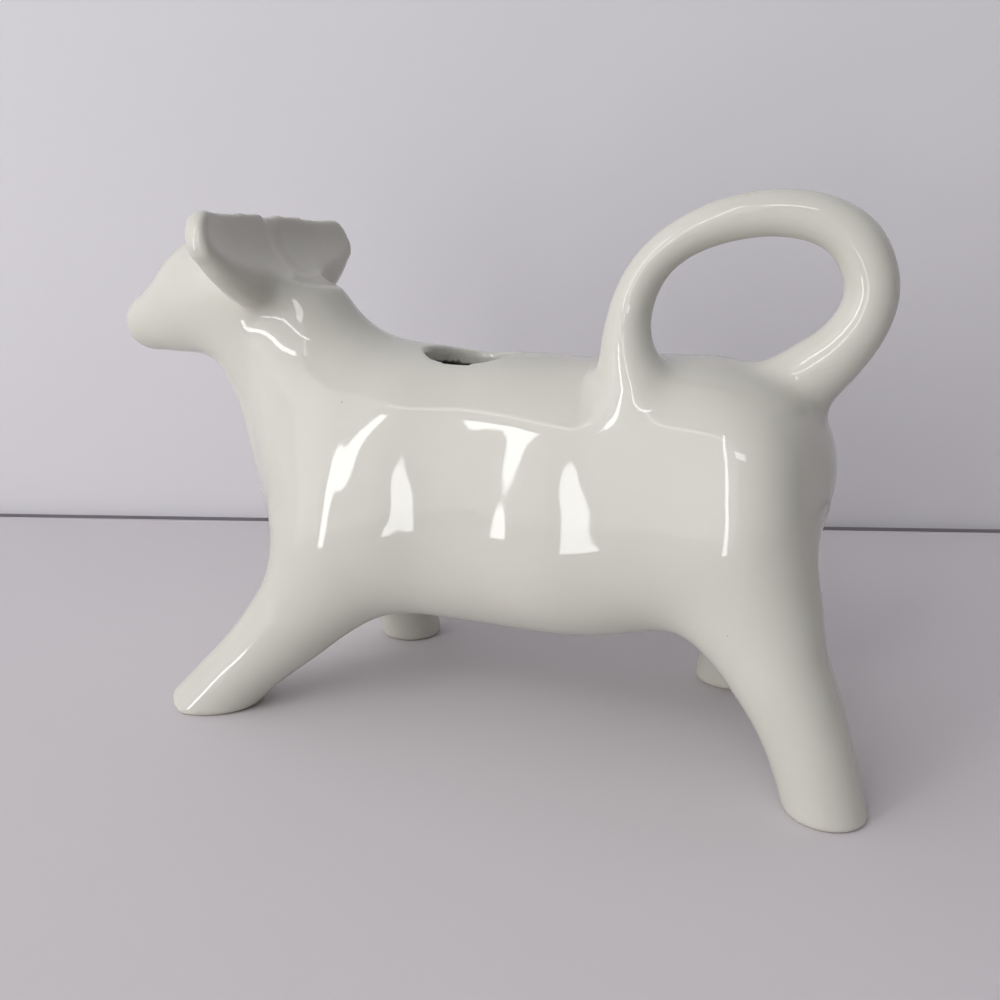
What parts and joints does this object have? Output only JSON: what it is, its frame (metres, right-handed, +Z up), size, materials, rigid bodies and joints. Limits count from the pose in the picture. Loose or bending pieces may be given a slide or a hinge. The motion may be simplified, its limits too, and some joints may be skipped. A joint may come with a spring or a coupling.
{
  "type": "cow creamer",
  "caption": "Walking cow-shaped cream jug in glazed white porcelain, filled through an open hole in the back, poured through the muzzle and held by the looped tail.",
  "frame": {"origin": "centre of the bounding box at the table, under the belly", "axes": "-X towards the muzzle, +X towards the tail, -Y the cow's left side, +Z up from the table"},
  "size_m": [0.1716, 0.0654, 0.1094],
  "materials": {
    "porcelain": "glossy clear glaze over off-white porcelain"
  },
  "bodies": {
    "root": {"body_shell": "porcelain", "neck": "porcelain", "head": "porcelain", "ear_left": "porcelain", "ear_right": "porcelain", "foreleg_left": "porcelain", "foreleg_right": "porcelain", "hindleg_left": "porcelain", "hindleg_right": "porcelain", "tail_handle": "porcelain"}
  },
  "joints": []
}
